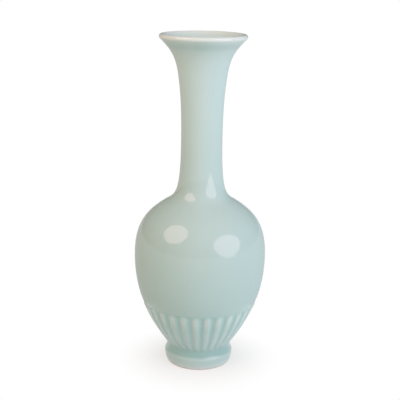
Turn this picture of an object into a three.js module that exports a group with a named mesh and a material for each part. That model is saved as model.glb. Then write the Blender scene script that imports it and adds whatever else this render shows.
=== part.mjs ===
// Porcelain bottle vase: a trumpet neck, a rounded shoulder, a lower body carved with flutes and a
// foot ring. Each was thrown by itself, and the sections are luted together with clay slip.
// Millimetres, +Z up. The origin is the centre of the circle that the foot stands on.

import * as THREE from "three";

// The outer profile passes through six stations. Each has a radius and a rise above the one below.
const WAIST_RADIUS = 25.4;
const WAIST_RISE = 15.7;
const BELLY_RADIUS = 51.5;
const BELLY_RISE = 73.3;
const SHOULDER_RADIUS = 27;
const SHOULDER_RISE = 43.6;
const NECK_RADIUS = 15.9;
const NECK_RISE = 49.4;
const FLARE_RADIUS = 18.7;
const FLARE_RISE = 48;
const MOUTH_RADIUS = 33.3;
const MOUTH_RISE = 30;

// The wall's direction at a sloping station, in degrees from level ground, going up the profile.
const UPRIGHT = 90;
const WAIST_SLOPE = 54.3;
const SHOULDER_SLOPE = 148.6;
const FLARE_SLOPE = 81.5;
const LIP_SLOPE = 46.5;

// How far a stretch holds its direction at each end, as a share of the stretch's length.
const LOWER_BODY_PULL = [0.34, 0.4];
const UPPER_BODY_PULL = [0.5, 0.35];
const LOWER_NECK_PULL = [0.18, 0.83];
const UPPER_NECK_PULL = [0.35, 0.34];
const TRUMPET_PULL = [0.47, 0.39];

// Clay thickness, and the curve between the wall and the floor inside.
const WALL = 4;
const FLOOR = 6;
const FLOOR_FILLET = 7;

// Luted joints: the slip's thickness, the bevel that centres one rim in the other, and the height
// of the neck joint above the shoulder station.
const SLIP = 0.5;
const BEVEL = 2;
const NECK_JOINT_RISE = 13.4;

// Foot ring: a low moulding that drops straight from the waist, coves out to a swell and tucks in again
// to a flat rest with eased edges. It is hollow underneath, with the body's turned spigot in its bore.
const FOOT_SWELL = 1.6;
const FOOT_SWELL_RISE = 8.3;
const FOOT_TUCK = 2.3;
const FOOT_REST_WIDTH = 4;
const FOOT_EDGE = 0.7;
const FOOT_TOP_SLOPE = 91;
const FOOT_TOP_PULL = [0.22, 0.75];
const SPIGOT_DEPTH = 3.5;
const SPIGOT_CLEARANCE = 0.4;

// Flutes: upright grooves with rounded ribs between them, which start at the waist and run out
// below the belly. The depth is where they are widest, and they get shallower as they close up. The
// crest is the share of a rib that is left uncut.
const FLUTES = 30;
const FLUTE_RISE = 37.9;
const FLUTE_DEPTH = 1.2;
const FLUTE_TOP_FADE = 4;
const FLUTE_FOOT_FADE = 2;
const RIB_CREST = 0.15;

// Facets: points for each flute round a plain ring and round a fluted one, and steps along the
// stretches of the profile.
const PLAIN_POINTS = 2;
const FLUTED_POINTS = 6;
const BODY_STEPS = 5;
const SHOULDER_STEPS = 8;
const COLLAR_STEPS = 4;
const NECK_STEPS = 4;
const TRUMPET_STEPS = 6;
const LIP_STEPS = 3;
const FLUTE_STEPS = 4;
const FLOOR_STEPS = 3;
const FOOT_STEPS = 4;
const INSIDE_STEPS = 5;
const SEARCH_STEPS = 40;
const PLAIN_SEGMENTS = FLUTES * PLAIN_POINTS;
const FLUTED_SEGMENTS = FLUTES * FLUTED_POINTS;

const CELADON = 0xb4cbcb;
const WHITE_CLAY = 0xe6e2d6;

const waistZ = WAIST_RISE;
const bellyZ = waistZ + BELLY_RISE;
const shoulderZ = bellyZ + SHOULDER_RISE;
const neckZ = shoulderZ + NECK_RISE;
const flareZ = neckZ + FLARE_RISE;
const mouthZ = flareZ + MOUTH_RISE;
const neckJointZ = shoulderZ + NECK_JOINT_RISE;
const fluteTopZ = waistZ + FLUTE_RISE;
const footRadius = WAIST_RADIUS + FOOT_SWELL;
const restRadius = footRadius - FOOT_TUCK;
const footBore = restRadius - FOOT_REST_WIDTH - FOOT_EDGE;

const point = (radius, z) => new THREE.Vector2(radius, z);
const lift = (p, dz) => point(p.x, p.y + dz);

function direction(degrees) {
  const angle = THREE.MathUtils.degToRad(degrees);
  return point(Math.cos(angle), Math.sin(angle));
}

// One stretch of the profile: a curve from one point and slope to the next.
function stretch(start, startSlope, end, endSlope, [startPull, endPull]) {
  const length = start.distanceTo(end);
  const afterStart = direction(startSlope).multiplyScalar(startPull * length).add(start);
  const beforeEnd = direction(endSlope).multiplyScalar(-endPull * length).add(end);
  return new THREE.CubicBezierCurve(start, afterStart, beforeEnd, end);
}

// The lip is the wall's own thickness, rounded over, so its round touches the mouth's radius and
// the vase's full height.
const lipRadius = WALL / 2;
const lipCentre = point(MOUTH_RADIUS - lipRadius, mouthZ - lipRadius);
const lipStart = direction(LIP_SLOPE - UPRIGHT).multiplyScalar(lipRadius).add(lipCentre);

const waist = point(WAIST_RADIUS, waistZ);
const belly = point(BELLY_RADIUS, bellyZ);
const shoulder = point(SHOULDER_RADIUS, shoulderZ);
const neckWaist = point(NECK_RADIUS, neckZ);
const flare = point(FLARE_RADIUS, flareZ);

const lowerBody = stretch(waist, WAIST_SLOPE, belly, UPRIGHT, LOWER_BODY_PULL);
const upperBody = stretch(belly, UPRIGHT, shoulder, SHOULDER_SLOPE, UPPER_BODY_PULL);
const lowerNeck = stretch(shoulder, SHOULDER_SLOPE, neckWaist, UPRIGHT, LOWER_NECK_PULL);
const upperNeck = stretch(neckWaist, UPRIGHT, flare, FLARE_SLOPE, UPPER_NECK_PULL);
const trumpet = stretch(flare, FLARE_SLOPE, lipStart, LIP_SLOPE, TRUMPET_PULL);

// Where a rising curve reaches a height, as the curve's parameter.
function parameterAt(curve, z) {
  let low = 0;
  let high = 1;
  for (let step = 0; step < SEARCH_STEPS; step += 1) {
    const middle = (low + high) / 2;
    if (curve.getPoint(middle).y < z) low = middle;
    else high = middle;
  }
  return low;
}

// A point of a curve, moved inward by an inset, square to the curve.
function pointOn(curve, t, inset = 0) {
  const tangent = curve.getTangent(t);
  const inward = point(-tangent.y, tangent.x).multiplyScalar(inset);
  return curve.getPoint(t).add(inward);
}

// Points along part of a curve, with the same inset.
function along(curve, from, to, steps, inset = 0) {
  const points = [];
  for (let step = 0; step <= steps; step += 1) {
    points.push(pointOn(curve, THREE.MathUtils.lerp(from, to, step / steps), inset));
  }
  return points;
}

// A profile that closes on itself, turned round the axis.
function revolve(profile) {
  const closed = [...profile, profile[0]];
  return new THREE.LatheGeometry(closed, PLAIN_SEGMENTS).rotateX(Math.PI / 2);
}

// A luted joint at a height, between a section that ends on one curve and a section that starts on
// the next: the profiles of the lower rim, the upper rim and the slip. The inner edge lies lower, so
// the upper section nests in the lower one.
function lutedJoint(lowerCurve, upperCurve, z) {
  const half = SLIP / 2;
  const below = pointOn(lowerCurve, parameterAt(lowerCurve, z - half));
  const above = pointOn(upperCurve, parameterAt(upperCurve, z + half));
  const inside = lift(pointOn(lowerCurve, parameterAt(lowerCurve, z), WALL), -BEVEL);
  const lower = [below, lift(inside, -half)];
  const upper = [lift(inside, half), above];
  return { lower, upper, slip: [below, above, upper[0], lower[1]] };
}

const neckJointT = parameterAt(lowerNeck, neckJointZ);
const neckJoint = lutedJoint(lowerNeck, lowerNeck, neckJointZ);
const bellyJoint = lutedJoint(lowerBody, upperBody, bellyZ);

// Part of the lip's round, from one direction to another as seen from its centre.
function lipArc(fromDegrees, toDegrees) {
  const [from, to] = [fromDegrees, toDegrees].map(THREE.MathUtils.degToRad);
  const arc = new THREE.EllipseCurve(lipCentre.x, lipCentre.y, lipRadius, lipRadius, from, to);
  return arc.getPoints(LIP_STEPS);
}

// Neck: up the outside from the joint, over the lip and down the bore.
function neckSection() {
  return revolve([
    neckJoint.upper[1],
    ...along(lowerNeck, neckJointT, 1, NECK_STEPS).slice(1, -1),
    ...along(upperNeck, 0, 1, NECK_STEPS).slice(0, -1),
    ...along(trumpet, 0, 1, TRUMPET_STEPS).slice(0, -1),
    ...lipArc(LIP_SLOPE - UPRIGHT, UPRIGHT).slice(0, -1),
    ...lipArc(UPRIGHT, LIP_SLOPE + UPRIGHT),
    ...along(trumpet, 1, 0, INSIDE_STEPS, WALL).slice(1),
    ...along(upperNeck, 1, 0, NECK_STEPS, WALL).slice(1),
    ...along(lowerNeck, 1, neckJointT, NECK_STEPS, WALL).slice(1, -1),
    neckJoint.upper[0],
  ]);
}

// Shoulder: from the belly joint over the round to the short collar that carries the neck.
function shoulderSection() {
  return revolve([
    bellyJoint.upper[1],
    ...along(upperBody, 0, 1, SHOULDER_STEPS).slice(1),
    ...along(lowerNeck, 0, neckJointT, COLLAR_STEPS).slice(1, -1),
    ...neckJoint.lower,
    ...along(lowerNeck, neckJointT, 0, COLLAR_STEPS, WALL).slice(1),
    ...along(upperBody, 1, 0, INSIDE_STEPS, WALL).slice(1, -1),
    bellyJoint.upper[0],
  ]);
}

const fluteTop = parameterAt(lowerBody, fluteTopZ);
const fluteTopRadius = lowerBody.getPoint(fluteTop).x;

// How deep a flute is cut at a height, and across a flute from one groove (0) to the next (1).
function fluteCut(radius, z, across) {
  const top = THREE.MathUtils.smoothstep(fluteTopZ - z, 0, FLUTE_TOP_FADE);
  const foot = THREE.MathUtils.smoothstep(z - waistZ, 0, FLUTE_FOOT_FADE);
  const fromRib = Math.abs(2 * across - 1);
  const side = THREE.MathUtils.smoothstep(fromRib, RIB_CREST, 1);
  return FLUTE_DEPTH * (radius / fluteTopRadius) * top * foot * side;
}

// One ring of points round the axis. A ring on the axis is a single point.
function ring(p, segments, cut) {
  if (p.x === 0) return [new THREE.Vector3(0, 0, p.y)];
  const points = [];
  for (let i = 0; i < segments; i += 1) {
    const angle = (i / segments) * 2 * Math.PI;
    const across = ((i * FLUTES) / segments + 0.5) % 1;
    const radius = p.x - (cut ? cut(p.x, p.y, across) : 0);
    points.push(new THREE.Vector3(radius * Math.cos(angle), radius * Math.sin(angle), p.y));
  }
  return points;
}

// A skin over a run of rings. Between a ring and one with more points, each point of the smaller
// ring fans out to its share of the larger one.
function loft(rings) {
  const positions = [];
  const triangle = (a, b, c) => positions.push(...a, ...b, ...c);
  for (let k = 1; k < rings.length; k += 1) {
    const [below, above] = [rings[k - 1], rings[k]];
    const fine = Math.max(below.length, above.length);
    const pick = (points, i) => points[Math.round((i * points.length) / fine) % points.length];
    for (let i = 0; i < fine; i += 1) {
      const [a, b] = [pick(below, i), pick(below, i + 1)];
      const [c, d] = [pick(above, i + 1), pick(above, i)];
      if (a !== b) triangle(a, b, c);
      if (c !== d) triangle(a, c, d);
    }
  }
  const geometry = new THREE.BufferGeometry();
  geometry.setAttribute("position", new THREE.Float32BufferAttribute(positions, 3));
  geometry.computeVertexNormals();
  return geometry;
}

// Lower body: the floor with its spigot, the fluted wall, the plain wall up to the belly joint, and
// the inside back down to the floor.
function lowerBodySection() {
  const seatZ = waistZ + SLIP / 2;
  const undersideZ = seatZ - SPIGOT_DEPTH;
  const floorZ = undersideZ + FLOOR;
  const spigotRadius = footBore - SPIGOT_CLEARANCE;

  const fadeEnd = parameterAt(lowerBody, fluteTopZ - FLUTE_TOP_FADE);
  const footFade = parameterAt(lowerBody, waistZ + FLUTE_FOOT_FADE);
  const fluted = [
    ...along(lowerBody, footFade, fadeEnd, FLUTE_STEPS),
    ...along(lowerBody, fadeEnd, fluteTop, FLUTE_STEPS).slice(1, -1),
  ];

  const wallFoot = parameterAt(lowerBody, floorZ + FLOOR_FILLET);
  const innerWall = along(lowerBody, 1, wallFoot, INSIDE_STEPS, WALL).slice(1);
  const wallEnd = innerWall.at(-1);
  const lean = lowerBody.getTangent(wallFoot);
  const floorCorner = point(wallEnd.x - ((wallEnd.y - floorZ) * lean.x) / lean.y, floorZ);
  const floorEdge = point(floorCorner.x - FLOOR_FILLET, floorZ);
  const fillet = new THREE.QuadraticBezierCurve(wallEnd, floorCorner, floorEdge);

  const plain = (p) => ring(p, PLAIN_SEGMENTS);
  return loft([
    ...[point(0, undersideZ), point(spigotRadius, undersideZ), point(spigotRadius, seatZ)].map(plain),
    plain(point(WAIST_RADIUS, seatZ)),
    ...fluted.map((p) => ring(p, FLUTED_SEGMENTS, fluteCut)),
    ...along(lowerBody, fluteTop, 1, BODY_STEPS).slice(0, -1).map(plain),
    ...[...bellyJoint.lower, ...innerWall].map(plain),
    ...[...fillet.getPoints(FLOOR_STEPS).slice(1), point(0, floorZ)].map(plain),
  ]);
}

// Foot ring: the rest, the moulding's swell, its cove up to the waist, and the bore.
function footRing() {
  const topZ = waistZ - SLIP / 2;
  const widest = point(footRadius, FOOT_SWELL_RISE);
  const edge = point(restRadius + FOOT_EDGE, FOOT_EDGE);
  const underSwell = point(footRadius, (edge.y + widest.y) / 2);
  const swell = new THREE.QuadraticBezierCurve(edge, underSwell, widest);
  const cove = stretch(widest, UPRIGHT, point(WAIST_RADIUS, topZ), FOOT_TOP_SLOPE, FOOT_TOP_PULL);
  return revolve([
    point(restRadius, 0),
    ...swell.getPoints(FOOT_STEPS),
    ...cove.getPoints(FOOT_STEPS).slice(1),
    point(footBore, topZ),
    point(footBore, FOOT_EDGE),
    point(footBore + FOOT_EDGE, 0),
  ]);
}

const footSlip = [
  point(WAIST_RADIUS, waistZ - SLIP / 2),
  point(WAIST_RADIUS, waistZ + SLIP / 2),
  point(footBore, waistZ + SLIP / 2),
  point(footBore, waistZ - SLIP / 2),
];

const glaze = () => new THREE.MeshStandardMaterial({ color: CELADON, roughness: 0.12, metalness: 0 });
const biscuit = () => new THREE.MeshStandardMaterial({ color: WHITE_CLAY, roughness: 0.8, metalness: 0 });

function piece(name, geometry, material) {
  const mesh = new THREE.Mesh(geometry, material);
  mesh.name = name;
  return mesh;
}

const vase = new THREE.Group();
vase.name = "bottle_vase";
vase.add(
  piece("neck", neckSection(), glaze()),
  piece("shoulder", shoulderSection(), glaze()),
  piece("lower_body", lowerBodySection(), glaze()),
  piece("foot_ring", footRing(), glaze()),
  piece("neck_slip", revolve(neckJoint.slip), biscuit()),
  piece("belly_slip", revolve(bellyJoint.slip), biscuit()),
  piece("foot_slip", revolve(footSlip), biscuit()),
);

export default vase;
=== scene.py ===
# %% [markdown]
# # A celadon bottle vase
#
# The real vase is porcelain under a pale blue-green glaze. A potter throws it in sections on the
# wheel (neck, shoulder, lower body and foot ring), lutes them together with slip, carves the
# flutes, and glazes and fires the whole. This lesson works in much the same order: section lines
# are drawn, cut at the joints, turned into pieces, carved, and then glazed with shader nodes.
#
# The imported model is loaded first. It fixes where everything is, in metres, with the foot standing
# on z = 0. Its box is kept.

import math

import bmesh
import bpy
from mathutils import Matrix, Vector
from mathutils.geometry import interpolate_bezier


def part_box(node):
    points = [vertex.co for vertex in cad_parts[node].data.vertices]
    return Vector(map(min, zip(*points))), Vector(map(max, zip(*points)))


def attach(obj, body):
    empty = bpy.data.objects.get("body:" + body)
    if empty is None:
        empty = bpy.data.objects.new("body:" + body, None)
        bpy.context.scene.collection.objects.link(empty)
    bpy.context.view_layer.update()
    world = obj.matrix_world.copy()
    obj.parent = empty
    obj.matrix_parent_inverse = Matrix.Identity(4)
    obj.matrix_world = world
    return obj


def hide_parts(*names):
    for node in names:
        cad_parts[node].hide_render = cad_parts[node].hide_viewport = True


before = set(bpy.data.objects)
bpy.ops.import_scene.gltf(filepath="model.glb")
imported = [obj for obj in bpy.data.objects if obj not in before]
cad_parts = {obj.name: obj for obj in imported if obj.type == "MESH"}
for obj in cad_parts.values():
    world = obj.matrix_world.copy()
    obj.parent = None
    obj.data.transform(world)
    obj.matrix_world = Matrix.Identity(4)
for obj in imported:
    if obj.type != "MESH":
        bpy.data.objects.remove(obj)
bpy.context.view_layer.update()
print("pieces of the vase:", sorted(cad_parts))

# %% [markdown]
# ## The camera
#
# The photograph was taken from a little above the vase, with a lens long enough that the neck
# hardly tapers away. How round the foot and the mouth look gives the height of the camera, and how
# much the two differ gives its distance. The vase leans by a degree in the frame, so the camera
# rolls by that much instead of the vase, which stands upright.

# %% Camera
FRAME_PIXELS = 400
FOCAL_PIXELS = 901.4
VIEW_TURN = math.radians(-2.5)
VIEW_RISE = math.radians(14.85)
VIEW_ROLL = math.radians(0.95)
VIEW_DISTANCE = 0.702
AIM = Vector((-0.0006, 0, 0.1323))

scene = bpy.context.scene


def away_from_vase(turn, rise):
    """The direction from the vase to something, by its turn from the front and its rise."""
    return Matrix.Rotation(turn, 3, "Z") @ Vector((0, -math.cos(rise), math.sin(rise)))


away = away_from_vase(VIEW_TURN, VIEW_RISE)
camera = bpy.data.objects.new("camera", bpy.data.cameras.new("camera"))
camera.data.lens = camera.data.sensor_width * FOCAL_PIXELS / FRAME_PIXELS
camera.location = AIM + away * VIEW_DISTANCE
facing = away.to_track_quat("Z", "Y").to_matrix() @ Matrix.Rotation(VIEW_ROLL, 3, "Z")
camera.rotation_euler = facing.to_euler()
scene.collection.objects.link(camera)
scene.camera = camera
print("camera at", tuple(round(value, 3) for value in camera.location))

# %% [markdown]
# ## The section line
#
# A thrown vase is its section turned round an axis. The outside passes through six stations:
# waist, belly, shoulder, neck, flare and lip. At each one the line has a place and a slope, and
# between two of them it is one Bézier stretch, which is how a curve is drawn by hand with the pen
# tool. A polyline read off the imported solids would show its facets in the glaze, so the line is
# drawn anew through the same stations.
#
# A station is a radius and a height in millimetres, and a slope in degrees from level ground. A
# stretch is its two stations, how far each end holds its slope as a share of the stretch's length,
# and the number of its steps.

# %% Stations and stretches
MM = 0.001
WALL = 4 * MM
UPRIGHT = 90
WAIST = (25.4, 15.95, 54.3)
BELLY = (51.5, 89, UPRIGHT)
SHOULDER = (27, 132.6, 148.6)
NECK = (15.9, 182, UPRIGHT)
FLARE = (18.7, 230, 81.5)
LIP_SLOPE = 46.5


def point(radius, height):
    """A point of the section, from millimetres."""
    return Vector((radius * MM, 0, height * MM))


def direction(slope):
    """The way that the line runs at a slope in degrees."""
    return Vector((math.cos(math.radians(slope)), 0, math.sin(math.radians(slope))))


def stretch(start, end, pulls, steps):
    """The points of one stretch, without its last."""
    begin, finish = point(*start[:2]), point(*end[:2])
    length = (finish - begin).length
    leave = begin + direction(start[2]) * pulls[0] * length
    arrive = finish - direction(end[2]) * pulls[1] * length
    return interpolate_bezier(begin, leave, arrive, finish, steps + 1)[:-1]


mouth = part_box("neck")[1]
lip_round = WALL / 2
lip_centre = Vector((mouth.x - lip_round, 0, mouth.z - lip_round))
lip_start = (lip_centre + direction(LIP_SLOPE - UPRIGHT) * lip_round) / MM
lip_station = (lip_start.x, lip_start.z, LIP_SLOPE)

stretches = (
    (WAIST, BELLY, (0.34, 0.4), 64),
    (BELLY, SHOULDER, (0.5, 0.35), 40),
    (SHOULDER, NECK, (0.18, 0.83), 40),
    (NECK, FLARE, (0.35, 0.34), 24),
    (FLARE, lip_station, (0.47, 0.39), 32),
)
outer_line = [place for row in stretches for place in stretch(*row)]
print("outer line:", len(outer_line), "points")

# %% [markdown]
# ## The lip, the bore and the floor
#
# The wall of a thrown pot is about the same thickness all the way, so the inside is the outside
# moved inward, square to the line. Over the rim the two meet in a half round: a sponge or a strip
# of leather smooths it while the pot still turns. Inside, the wall runs into the floor in a soft
# curve, and under the floor a low spigot is turned to seat in the foot ring.

# %% Lines of the inside
HALF_ROUND = 180
LIP_STEPS = 18
FLOOR_THICKNESS = 6
FILLET = 7
FILLET_CORNER = 0.5
FILLET_REACH = 1.7
FILLET_POINTS = 12
SPIGOT_DEPTH = 3.5
SPIGOT_CLEARANCE = 0.4
FOOT_BORE = 20


def inset(line, depth):
    """The same line moved inward."""
    moved = []
    for before, here, after in zip(line, line[1:], line[2:]):
        along = (after - before).normalized()
        moved.append(here + Vector((-along.z, 0, along.x)) * depth)
    return moved


lip_line = [
    lip_centre + direction(LIP_SLOPE - UPRIGHT + HALF_ROUND * step / LIP_STEPS) * lip_round
    for step in range(LIP_STEPS + 1)
]
underside = WAIST[1] - SPIGOT_DEPTH
floor_height = underside + FLOOR_THICKNESS
inner_line = [
    place for place in inset(outer_line, WALL)[::-1]
    if place.z > (floor_height + FILLET) * MM
]
wall_foot = inner_line[-1]
floor_corner = point(wall_foot.x / MM - FILLET_CORNER * FILLET, floor_height)
floor_edge = point(wall_foot.x / MM - FILLET_REACH * FILLET, floor_height)
floor_line = interpolate_bezier(
    wall_foot, floor_corner, floor_corner, floor_edge, FILLET_POINTS
)[1:] + [point(0, floor_height)]
spigot = FOOT_BORE - SPIGOT_CLEARANCE
spigot_line = [point(0, underside), point(spigot, underside), point(spigot, WAIST[1])]
print("inside:", len(inner_line) + len(floor_line), "points")

# %% [markdown]
# ## The body's section
#
# The lines are joined into one section, from the middle of the underside, up the outside, over the
# lip and back down to the middle of the floor. Each point keeps whether it is on the outside, for
# the carving and for the glaze. The outside gets more points where the rounded ends of the petals
# between the flutes will be carved.

# %% Draw the body's section
PETAL_BAND = (46 * MM, 60 * MM)
PETAL_CUTS = 3


def draw(*lines, closed=False):
    """A section as vertices joined by edges. Each line follows a 1 if it is outside, or a 0."""
    section = bmesh.new()
    outside = section.verts.layers.float.new("outside")
    verts = []
    for is_outside, line in lines:
        for place in line:
            vert = section.verts.new(place)
            vert[outside] = is_outside
            verts.append(vert)
    for one, other in zip(verts, verts[1:] + verts[:1] if closed else verts[1:]):
        section.edges.new((one, other))
    return section


body_section = draw(
    (0, spigot_line), (1, outer_line), (1, lip_line), (0, inner_line), (0, floor_line),
)
body_outside = body_section.verts.layers.float["outside"]
near_petal_ends = {
    vert for vert in body_section.verts
    if vert[body_outside] and PETAL_BAND[0] < vert.co.z < PETAL_BAND[1]
}
petal_ends = [edge for edge in body_section.edges if near_petal_ends.issuperset(edge.verts)]
bmesh.ops.subdivide_edges(body_section, edges=petal_ends, cuts=PETAL_CUTS)
print("body section:", len(body_section.edges), "edges")

# %% [markdown]
# ## The foot's section
#
# The foot is a low round moulding. From the waist it drops almost straight, coves out to a swell,
# and then tucks in to the flat ring that the vase stands on. The ring's edges are eased with a
# sponge, so that they don't chip. It is hollow underneath, as turned feet are: a ring finds its
# footing on a table where a full disc would rock. The slip above it is drawn with it, and cut off
# in the next step.

# %% Draw the foot's section
SLIP = 0.5
FOOT_SWELL = (27, 8.3, UPRIGHT)
FOOT_TOP = (WAIST[0], WAIST[1] - SLIP, 91)
FOOT_REST = 24.7
FOOT_EDGE = 0.7
COVE_PULLS = (0.22, 0.75)
COVE_STEPS = 28
TUCK_PULL = 2 / 3
TUCK_STEPS = 24

rest_edge = point(FOOT_REST + FOOT_EDGE, FOOT_EDGE)
swell = point(*FOOT_SWELL[:2])
under_swell = point(FOOT_SWELL[0], (FOOT_EDGE + FOOT_SWELL[1]) / 2)
tuck_line = interpolate_bezier(
    rest_edge, rest_edge.lerp(under_swell, TUCK_PULL),
    swell.lerp(under_swell, TUCK_PULL), swell, TUCK_STEPS + 1,
)[:-1]
cove_line = stretch(FOOT_SWELL, FOOT_TOP, COVE_PULLS, COVE_STEPS)
bore_line = [point(FOOT_BORE, WAIST[1]), point(FOOT_BORE, FOOT_EDGE)]
rest_line = [point(FOOT_BORE + FOOT_EDGE, 0), point(FOOT_REST, 0)]
foot_section = draw(
    (1, tuck_line + cove_line + [point(*FOOT_TOP[:2]), point(*WAIST[:2])]),
    (0, bore_line + rest_line),
    closed=True,
)
print("foot section:", len(foot_section.edges), "edges")

# %% [markdown]
# ## Cutting the sections at the luted joints
#
# Each joint in the wall is a slanted cut, lower on the inside, so that the upper section nests in
# the lower one. The foot's joint is level. The slip between two sections is a ring half a
# millimetre thick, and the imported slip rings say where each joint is. In the section a joint is a
# straight line, so `bisect_plane` cuts the outside and the inside in one go. One more cut close to
# each joint adds a ring there, which keeps the shading of two neighbours alike right up to the
# seam.

# %% Cut lines
SEAM_RING = 0.3 * MM
ON_THE_LINE = 1e-7


def joint(slip_node, slanted=True):
    """The lower and the upper cut line of a joint: a place on the outside and the up normal."""
    low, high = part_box(slip_node)
    outer = Vector((high.x, 0, high.z - SLIP * MM))
    inner = Vector((high.x - WALL, 0, low.z if slanted else outer.z))
    across = inner - outer
    normal = Vector((across.z, 0, -across.x)).normalized()
    return (outer, normal), (outer + Vector((0, 0, SLIP * MM)), normal)


def cut_through(part, place, normal, **cleared):
    """Cut a section along a line, and give the points on the cut."""
    done = bmesh.ops.bisect_plane(
        part, geom=part.verts[:] + part.edges[:], dist=ON_THE_LINE,
        plane_co=place, plane_no=normal, **cleared,
    )
    return [item for item in done["geom_cut"] if isinstance(item, bmesh.types.BMVert)]


def between(section, low=None, high=None):
    """The part of a section between two cut lines, closed along them."""
    part = section.copy()
    for cut, keep_above in ((low, True), (high, False)):
        if cut is None:
            continue
        place, normal = cut
        cut_through(part, place + normal * (SEAM_RING if keep_above else -SEAM_RING), normal)
        ends = cut_through(
            part, place, normal, clear_inner=keep_above, clear_outer=not keep_above
        )
        bmesh.ops.contextual_create(part, geom=ends)
    return part


belly_lower, belly_upper = joint("belly_slip")
neck_lower, neck_upper = joint("neck_slip")
foot_lower = joint("foot_slip", slanted=False)[0]
parts = {
    "neck": between(body_section, low=neck_upper),
    "neck_slip": between(body_section, low=neck_lower, high=neck_upper),
    "shoulder": between(body_section, low=belly_upper, high=neck_lower),
    "belly_slip": between(body_section, low=belly_lower, high=belly_upper),
    "lower_body": between(body_section, high=belly_lower),
    "foot_slip": between(foot_section, low=foot_lower),
    "foot_ring": between(foot_section, high=foot_lower),
}
body_section.free()
foot_section.free()
for name, part in parts.items():
    print(name, "section:", len(part.verts), "points")

# %% [markdown]
# ## Turning
#
# `spin` does what the wheel does. The vase repeats thirty times round, once for each flute, so
# only a thirtieth of it is spun: a wedge from the middle of one rib to the middle of the next. It
# is copied round once it has been carved, which is far quicker than a spin of hundreds of steps.

# %% Spin one wedge of each section
FLUTES = 30
FULL_TURN = 2 * math.pi
PITCH = FULL_TURN / FLUTES
PLAIN_STEPS = 8
FLUTED_STEPS = 16


def spin_round(part, angle, steps, copies=False):
    """Sweep a section, or copy a wedge, round the vase's axis."""
    bmesh.ops.spin(
        part, geom=part.verts[:] + part.edges[:] + part.faces[:], cent=(0, 0, 0), axis=(0, 0, 1),
        angle=angle, steps=steps, use_duplicate=copies,
    )


for name, part in parts.items():
    spin_round(part, PITCH, FLUTED_STEPS if name == "lower_body" else PLAIN_STEPS)
    print(name, "wedge:", len(part.faces), "faces")

# %% [markdown]
# ## Carving the flutes
#
# The flutes are cut with a loop tool while the clay is firm: thirty upright grooves that leave a
# ring of slim petals. A groove is deepest where it is widest and closes up towards the waist. At
# the top the tool goes round the rounded end of each petal and comes out of the wall in a long
# shallow run. A boolean with thirty cutters would leave long thin triangles, so the wall's own
# points are moved inward instead. How deep each one was cut is kept in an attribute, because glaze
# runs into the grooves.

# %% Carve
FLUTE_TOP = 53.6 * MM
FLUTE_DEPTH = 1.2 * MM
FLUTE_TOP_FADE = 4 * MM
FLUTE_FOOT_FADE = 2 * MM
RUN_OUT_SHARE = 0.13
RUN_OUT_TOP = 59 * MM
RUN_OUT_FADE = 6 * MM
PETAL_CREST = 0.15
PETAL_TOP = 52.2 * MM
PETAL_ROUND = 3.5 * MM

widest_flute = next(place.x for place in outer_line if place.z > FLUTE_TOP)


def smooth(value, low, high):
    """0 below low, 1 above high, and a soft step between."""
    share = min(max((value - low) / (high - low), 0), 1)
    return share * share * (3 - 2 * share)


def petal_width(height):
    """The share of its width that a petal has at a height, less and less round its top."""
    up = min(max((height - PETAL_TOP) / PETAL_ROUND + 1, 0), 1)
    return math.sqrt(1 - up * up)


def carve(part):
    """Cut the flutes into the outside of the lower body."""
    outside = part.verts.layers.float["outside"]
    groove = part.verts.layers.float.new("groove")
    waist = WAIST[1] * MM
    for vert in part.verts:
        if vert[outside] < 0.5:
            continue
        radius, height = vert.co.xy.length, vert.co.z
        across = math.atan2(vert.co.y, vert.co.x) / PITCH
        to_groove = 1 - abs(2 * (across % 1) - 1)
        side = smooth(1 - petal_width(height) * (1 - to_groove), PETAL_CREST, 1)
        run_out = RUN_OUT_SHARE * smooth(RUN_OUT_TOP - height, 0, RUN_OUT_FADE)
        cut = (1 - RUN_OUT_SHARE) * smooth(FLUTE_TOP - height, 0, FLUTE_TOP_FADE) + run_out
        vert[groove] = side * cut * smooth(height - waist, 0, FLUTE_FOOT_FADE)
        depth = FLUTE_DEPTH * radius / widest_flute * vert[groove]
        vert.co.xy *= (radius - depth) / radius


carve(parts["lower_body"])
groove = parts["lower_body"].verts.layers.float["groove"]
print("points carved:", sum(vert[groove] > 0 for vert in parts["lower_body"].verts))

# %% [markdown]
# The carved wedge and the plain ones are copied round, and the copies are welded together where
# they meet.

# %% Copy the wedges round
WELD = 1e-6

for name, part in parts.items():
    spin_round(part, FULL_TURN - PITCH, FLUTES - 1, copies=True)
    bmesh.ops.remove_doubles(part, verts=part.verts[:], dist=WELD)
    bmesh.ops.recalc_face_normals(part, faces=part.faces[:])
    print(name, "turned:", len(part.faces), "faces")

# %% [markdown]
# ## Shader arithmetic
#
# Node trees get long when every sum is a node that has to be made and linked by hand. This small
# class wraps a socket, so a mask can be written as a sum in Python, and the sum adds its Math
# nodes. Any other node comes from its `node` method.

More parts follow.
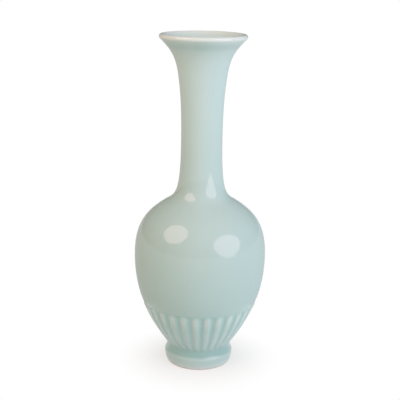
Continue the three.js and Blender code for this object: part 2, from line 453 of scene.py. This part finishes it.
# %% A socket that can be used in sums
class Socket:
    """One output of a shader node."""

    def __init__(self, tree, output=None):
        self.tree = tree
        self.output = output

    def node(self, kind, settings, inputs, output=0):
        """Add a node: its settings first, then the value or the link of each named socket."""
        node = self.tree.nodes.new("ShaderNode" + kind)
        for name, value in settings.items():
            setattr(node, name, value)
        for name, value in inputs.items():
            if isinstance(value, Socket):
                self.tree.links.new(value.output, node.inputs[name])
            else:
                node.inputs[name].default_value = value
        return Socket(self.tree, node.outputs[output] if node.outputs else None)

    def math(self, operation, one, other):
        return self.node("Math", {"operation": operation}, {0: one, 1: other})

    def __add__(self, other):
        return self.math("ADD", self, other)

    def __radd__(self, other):
        return self.math("ADD", other, self)

    def __sub__(self, other):
        return self.math("SUBTRACT", self, other)

    def __rsub__(self, other):
        return self.math("SUBTRACT", other, self)

    def __mul__(self, other):
        return self.math("MULTIPLY", self, other)

    def __rmul__(self, other):
        return self.math("MULTIPLY", other, self)

    def __truediv__(self, other):
        return self.math("DIVIDE", self, other)

    def step(self, low, high):
        """0 below low, 1 above high, and a soft step between."""
        return self.node(
            "MapRange", {"interpolation_type": "SMOOTHSTEP"},
            {"Value": self, "From Min": low, "From Max": high},
        )

    def blend(self, one, other):
        """One colour where this is 0 and the other where it is 1."""
        return self.node("Mix", {"data_type": "RGBA"}, {0: self, 6: one, 7: other}, 2)

    def noise(self, place, scale, detail):
        """A soft pattern of lighter and darker spots, as one value from 0 to 1."""
        inputs = {"Vector": place, "Scale": scale, "Detail": detail}
        return self.node("TexNoise", {}, inputs, "Fac")


def material(name):
    """A new material and the start of its tree."""
    made = bpy.data.materials.new(name)
    made.use_nodes = True
    made.node_tree.nodes.clear()
    return made, Socket(made.node_tree)


print("shader sums ready")

# %% [markdown]
# ## Where the glaze is thick and thin, and where light and shade are painted
#
# Celadon is a clear glass, tinted by a trace of iron, over white porcelain, so its colour follows
# its thickness. Each place where it differs is a mask of the height and the carving. Some of the
# masks paint light and shade into the colour instead. A pair of numbers is a band of height in
# millimetres, over which a mask comes in or goes out on the way up, and a share says how much of
# the next colour a mask lets in.
#
# The neck is paler towards the top: painted light, brighter up the neck. The lower ends of the
# ribs are paler too: painted bounce light from the paper below, which also keeps the low parts of
# the grooves lighter. The glaze is deeper and greener in the grooves, where it pools, and the body
# is darker and greener towards the bottom: painted shade.

# %% Pale and deep glaze, painted light and shade
# Painted light: the neck pales towards the top, as if lit more from above.
NECK_LIGHT_IN = (100, 235)
NECK_LIGHT_SHARE = 0.9
# Painted bounce light from the paper below, on the lower ends of the ribs.
LOW_RIBS_BOUNCE_IN = (15.5, 19)
LOW_RIBS_BOUNCE_OUT = (26, 44)
LOW_RIBS_BOUNCE_SHARE = 0.6
GROOVE_SHARE = 0.5
# Painted bounce light in the grooves: below this band they take less of the deep colour.
GROOVE_BOUNCE_OUT = (24, 40)
GROOVE_BOUNCE_SHARE = 0.4
# Painted shade: the body darkens towards the bottom.
LOW_BODY_SHADE_OUT = (30, 110)
LOW_BODY_SHADE_SHARE = 0.25
CLOUD_SHARE = 0.25


def band(height, come_in, go_out):
    """1 between two bands of height: it comes in over the first and goes out over the second."""
    return height.step(*come_in) * (1 - height.step(*go_out))


def painted_light(height):
    """Painted light: paler up the neck, and painted bounce light on the lower ends of the ribs."""
    low_ribs_bounce = band(height, LOW_RIBS_BOUNCE_IN, LOW_RIBS_BOUNCE_OUT)
    return height.step(*NECK_LIGHT_IN) * NECK_LIGHT_SHARE + low_ribs_bounce * LOW_RIBS_BOUNCE_SHARE


def deep_and_shaded(height, groove, clouds):
    """Pooled glaze in the grooves, with painted bounce light low down, painted shade low on the
    body, and faint clouds all over.
    """
    in_groove = groove * (height.step(*GROOVE_BOUNCE_OUT) * GROOVE_BOUNCE_SHARE + GROOVE_SHARE)
    low_body_shade = 1 - height.step(*LOW_BODY_SHADE_OUT)
    return in_groove + low_body_shade * LOW_BODY_SHADE_SHARE + clouds * CLOUD_SHARE


print("the neck pales between", *NECK_LIGHT_IN, "mm")

# %% [markdown]
# The glaze is deepest where it pools: in the cove above the foot, and in a ring under the lip. The
# cove is darker still with painted shade, from the body that overhangs it.

# %% Pooled glaze and painted shade
# The cove: pooled glaze, and painted shade under the overhanging body.
COVE_POOL_AND_SHADE_IN = (9.0, 11.8)
COVE_POOL_AND_SHADE_OUT = (15.2, 17.5)
COVE_POOL_AND_SHADE_SHARE = 0.9
LIP_RING_IN = (248.5, 251.5)
LIP_RING_OUT = (252.3, 256)
LIP_RING_SHARE = 0.25


def pooled_and_shaded(height, outside):
    """The cove above the foot, pooled glaze with painted shade, and pooled glaze in a ring outside
    under the lip.
    """
    lip_ring = outside * band(height, LIP_RING_IN, LIP_RING_OUT)
    return band(height, COVE_POOL_AND_SHADE_IN, COVE_POOL_AND_SHADE_OUT) * COVE_POOL_AND_SHADE_SHARE + lip_ring * LIP_RING_SHARE


print("glaze pools from", COVE_POOL_AND_SHADE_IN[0], "to", COVE_POOL_AND_SHADE_OUT[1], "mm")

# %% [markdown]
# Where the glaze runs thin, on the lip and the crests of the ribs, the white clay shows through.
# The same pale colour is painted bounce light from the paper below on the flare, and the edge of
# the sole is thin glaze with painted bounce light too. The foot's rest is wiped bare before firing,
# so that the vase doesn't stick to the kiln shelf. The crests' sides are the one pair here that
# isn't of heights: they are shares of the groove's depth.

# %% Thin glaze, painted bounce light and bare clay
LIP_IN = (253.4, 258.6)
LIP_RAGGED = 1.2
LIP_SHARE = 0.5
OUTER_LIP_SHARE = 0.2
# Painted bounce light on the flare, which faces down to the paper.
FLARE_BOUNCE_IN = (234, 246)
FLARE_BOUNCE_SHARE = 0.15
CREST_IN = (20, 48)
CREST_SHARE = 0.15
HIGH_CREST_IN = (38, 47)
HIGH_CREST_SHARE = 0.3
CREST_OUT = (48.6, 52)
CREST_SIDES = (0.05, 0.6)
# The edge of the sole: thin glaze, and painted bounce light from the paper.
SOLE_THIN_AND_BOUNCE_OUT = (0.6, 6.5)
SOLE_THIN_AND_BOUNCE_SHARE = 0.6
BARE_OUT = (0.6, 1.2)
BARE_RAGGED = 0.8


def thin(height, groove, outside, ragged):
    """The lip with its ragged edge, painted bounce light on the flare, the crests of the ribs, and
    the edge of the sole, which is thin glaze with painted bounce light.
    """
    lip = (height + ragged * LIP_RAGGED).step(*LIP_IN) * (outside * OUTER_LIP_SHARE + LIP_SHARE)
    flare_bounce = outside * height.step(*FLARE_BOUNCE_IN) * FLARE_BOUNCE_SHARE
    along = height.step(*CREST_IN) * CREST_SHARE + height.step(*HIGH_CREST_IN) * HIGH_CREST_SHARE
    crest = along * (1 - height.step(*CREST_OUT)) * (1 - groove.step(*CREST_SIDES))
    sole_thin_and_bounce = 1 - height.step(*SOLE_THIN_AND_BOUNCE_OUT)
    return lip + flare_bounce + crest + sole_thin_and_bounce * SOLE_THIN_AND_BOUNCE_SHARE


def bare(height, ragged):
    """The wiped rest of the foot."""
    return 1 - (height + ragged * BARE_RAGGED).step(*BARE_OUT)


print("the lip is thin from", LIP_IN[0], "mm up")

# %% [markdown]
# ## The celadon glaze
#
# The masks are laid over one another, from the plain glaze to the bare clay, painted light and
# shade among them. The skin has a faint ripple, and it is duller on the foot, where the glaze is
# dry, than on the rest of the vase. One material on Object coordinates does for every piece, the
# slip under the glaze too, so it runs over the seams.

# %% Glaze
GLAZE = (0.431, 0.577, 0.568, 1)
PAINTED_LIGHT_GLAZE = (0.5, 0.648, 0.646, 1)
DEEP_GLAZE_AND_SHADE = (0.357, 0.564, 0.559, 1)
POOLED_GLAZE_AND_SHADE = (0.27, 0.46, 0.45, 1)
THIN_GLAZE_AND_BOUNCE_LIGHT = (0.665, 0.735, 0.73, 1)
BARE_CLAY = (0.62, 0.58, 0.51, 1)
CLOUD_SCALE = 28.0
CLOUD_DETAIL = 3.0
RAGGED_SCALE = 160.0
SKIN_SCALE = 45.0
FINE_DETAIL = 2.0
RIPPLE = 0.05
GLASS_ROUGHNESS = 0.075
DRY_ROUGHNESS = 0.2
CLAY_ROUGHNESS = 0.6
FOOT_OUT = (9.5, 13)
GLASS_IOR = 1.5


def celadon_glaze():
    """Glossy celadon whose colour follows its thickness, with painted light and shade laid in."""
    made, new = material("celadon_glaze")
    place = new.node("TexCoord", {}, {}, "Object")
    height = new.node("SeparateXYZ", {}, {0: place}, 2) * (1 / MM)
    groove, outside = [
        new.node("Attribute", {"attribute_name": kept}, {}, "Fac") for kept in ("groove", "outside")
    ]
    clouds = new.noise(place, CLOUD_SCALE, CLOUD_DETAIL) - 0.5
    ragged = new.noise(place, RAGGED_SCALE, FINE_DETAIL) - 0.5
    clay = bare(height, ragged)

    # Painted light and shade are blended in with the glaze's colours here: neck, low ribs, low
    # grooves, low body, cove, flare and sole.
    colour = painted_light(height).blend(GLAZE, PAINTED_LIGHT_GLAZE)
    colour = deep_and_shaded(height, groove, clouds).blend(colour, DEEP_GLAZE_AND_SHADE)
    colour = pooled_and_shaded(height, outside).blend(colour, POOLED_GLAZE_AND_SHADE)
    colour = thin(height, groove, outside, ragged).blend(colour, THIN_GLAZE_AND_BOUNCE_LIGHT)
    colour = clay.blend(colour, BARE_CLAY)

    skin = new.noise(place, SKIN_SCALE, FINE_DETAIL)
    ripple = new.node("Bump", {}, {"Strength": RIPPLE, "Distance": MM, "Height": skin}, "Normal")
    foot = 1 - height.step(*FOOT_OUT)
    roughness = clay * CLAY_ROUGHNESS + foot * DRY_ROUGHNESS + GLASS_ROUGHNESS
    surface = new.node(
        "BsdfPrincipled", {},
        {"Base Color": colour, "Roughness": roughness, "IOR": GLASS_IOR, "Normal": ripple}, "BSDF",
    )
    new.node("OutputMaterial", {}, {"Surface": surface})
    return made


glaze = celadon_glaze()
print("glaze nodes:", len(glaze.node_tree.nodes))

# %% [markdown]
# ## Finished pieces
#
# Each piece becomes a mesh object at the origin, smooth shaded, with its corners kept sharp. It
# rides on the vase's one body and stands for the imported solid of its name.

# %% Make the objects
CORNER = math.radians(40)

for name, part in parts.items():
    mesh = bpy.data.meshes.new(name + "_fine")
    part.to_mesh(mesh)
    part.free()
    mesh.shade_smooth()
    mesh.set_sharp_from_angle(angle=CORNER)
    mesh.materials.append(glaze)
    piece = bpy.data.objects.new(name + "_fine", mesh)
    scene.collection.objects.link(piece)
    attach(piece, "root")
    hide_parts(name)
    print(piece.name, len(mesh.polygons), "faces")

# %% [markdown]
# ## The paper under the vase and the backdrop
#
# White paper under this light would render as pale grey, so to the camera and in reflections it is
# its own white light. Close to the vase a share stays lit paper, which keeps the soft shadow round
# the foot.

# %% White paper
PAPER = (0.75, 0.75, 0.75, 1)
WHITE = (1, 1, 1, 1)
NEAR_WHITE = 0.45
NEAR_REACH = 0.07


def seen_directly(new):
    """1 for what the camera sees or the glaze mirrors, and 0 for light that falls on things."""
    rays = ("Is Camera Ray", "Is Glossy Ray", "Is Transmission Ray")
    camera_ray, glossy_ray, through_ray = [new.node("LightPath", {}, {}, ray) for ray in rays]
    return camera_ray + glossy_ray + through_ray


def white_paper():
    """Paper that is white as seen, and keeps a shadow close to the vase."""
    made, new = material("white_paper")
    place = new.node("TexCoord", {}, {}, "Object")
    distance = new.node("VectorMath", {"operation": "LENGTH"}, {0: place}, "Value")
    near = 1 - distance.step(0, NEAR_REACH)
    share = seen_directly(new) * (1 - near * (1 - NEAR_WHITE))
    lit = new.node("BsdfDiffuse", {}, {"Color": PAPER})
    white = new.node("Emission", {}, {"Color": WHITE, "Strength": 1.0})
    surface = new.node("MixShader", {}, {0: share, 1: lit, 2: white})
    new.node("OutputMaterial", {}, {"Surface": surface})
    return made


paper = white_paper()
print("paper nodes:", len(paper.node_tree.nodes))

# %% [markdown]
# The vase stands on a round sheet of this paper, and a square one hangs well behind it, facing the
# camera and hardly larger than the picture. What is white and close is mirrored over a wide part
# of the glaze: a large white table would bleach the sides of the body. A small sheet and a far
# backdrop leave the sides to the room.

# %% Sheet and backdrop
SHEET_RADIUS = 0.1
SHEET_SEGMENTS = 96
BACKDROP_BEHIND = 3.2
BACKDROP_MARGIN = 1.03


def sheet_of_paper(name, sheet):
    """A sheet that isn't part of the vase."""
    mesh = bpy.data.meshes.new(name)
    sheet.to_mesh(mesh)
    sheet.free()
    mesh.materials.append(paper)
    held = bpy.data.objects.new(name, mesh)
    scene.collection.objects.link(held)
    print(name, [round(side, 2) for side in held.dimensions])


round_sheet = bmesh.new()
bmesh.ops.create_circle(
    round_sheet, cap_ends=True, radius=SHEET_RADIUS, segments=SHEET_SEGMENTS
)
sheet_of_paper("round_sheet", round_sheet)

backdrop = bmesh.new()
to_backdrop = VIEW_DISTANCE + BACKDROP_BEHIND
half_side = to_backdrop * FRAME_PIXELS / 2 / FOCAL_PIXELS * BACKDROP_MARGIN
hang = (
    Matrix.Translation(AIM - away * BACKDROP_BEHIND)
    @ facing.to_4x4()
    @ Matrix.Diagonal((half_side, half_side, 1, 1))
)
bmesh.ops.create_grid(backdrop, x_segments=1, y_segments=1, size=1, matrix=hang)
sheet_of_paper("backdrop", backdrop)

# %% [markdown]
# ## The lights
#
# The two large highlights on the shoulder are two soft boxes: a warm round one high on the left,
# and a cooler one low on the right, which is an oval, wider than it is tall. A highlight's place
# gives a light's direction, and its size gives how wide the light looks from the vase.

# %% Soft boxes
LIGHT_DISTANCE = 0.8


def soft_box(name, turn, rise, across, tall_share, radiance, colour):
    """An oval lamp. Its direction and its width are as seen from the vase, in degrees."""
    lamp = bpy.data.lights.new(name, "AREA")
    lamp.shape = "ELLIPSE"
    lamp.size = 2 * LIGHT_DISTANCE * math.tan(math.radians(across) / 2)
    lamp.size_y = lamp.size * tall_share
    area = math.pi * lamp.size * lamp.size_y / 4
    lamp.energy = radiance * math.pi * area
    lamp.color = colour
    holder = bpy.data.objects.new(name, lamp)
    towards = away_from_vase(VIEW_TURN + math.radians(turn), math.radians(rise))
    holder.location = AIM + towards * LIGHT_DISTANCE
    holder.rotation_euler = towards.to_track_quat("Z", "Y").to_euler()
    scene.collection.objects.link(holder)
    print(name, "at", tuple(round(value, 2) for value in holder.location))


soft_box(
    "left_box", turn=-56, rise=38.3, across=42.5, tall_share=1.0,
    radiance=3.4, colour=(1, 0.703, 0.645),
)
soft_box(
    "right_box", turn=50.7, rise=17.4, across=50.3, tall_share=0.83,
    radiance=2.91, colour=(1, 0.767, 0.908),
)

# %% [markdown]
# ## The room
#
# The room's light falls on the vase from all round, warm from the left and cool from the right.
# What the camera sees of the room, and what the glaze mirrors, has no tint: grey walls over a pale
# floor. Both are brighter in front of the vase than behind it, which is why the sides of the vase
# are darker than its middle.

# %% Room
ROOM_LEFT = (0.39, 0.311, 0.195, 1)
ROOM_RIGHT = (0.633, 0.762, 0.76, 1)
WALL_LEFT = (0.3, 0.3, 0.3, 1)
WALL_RIGHT = (0.46, 0.46, 0.46, 1)
ROOM_FLOOR = (0.88, 0.88, 0.88, 1)
HORIZON = 0.03
ROOM_FALL = 0.35

world = bpy.data.worlds.new("room")
scene.world = world
world.use_nodes = True
world.node_tree.nodes.clear()
room = Socket(world.node_tree)
sight = room.node("TexCoord", {}, {}, "Generated")
to_right, to_back, to_up = [
    room.node("SeparateXYZ", {}, {0: sight}, axis) for axis in ("X", "Y", "Z")
]
rightness = (to_right + 1) / 2
light = rightness.blend(ROOM_LEFT, ROOM_RIGHT)
wall = rightness.blend(WALL_LEFT, WALL_RIGHT)
seen = to_up.step(-HORIZON, HORIZON).blend(ROOM_FLOOR, wall)
tint = seen_directly(room).blend(light, seen)
sky = room.node("Background", {}, {"Color": tint, "Strength": 1 - to_back * ROOM_FALL})
room.node("OutputWorld", {}, {"Surface": sky})
scene.view_settings.view_transform = "Standard"
print("room lit")
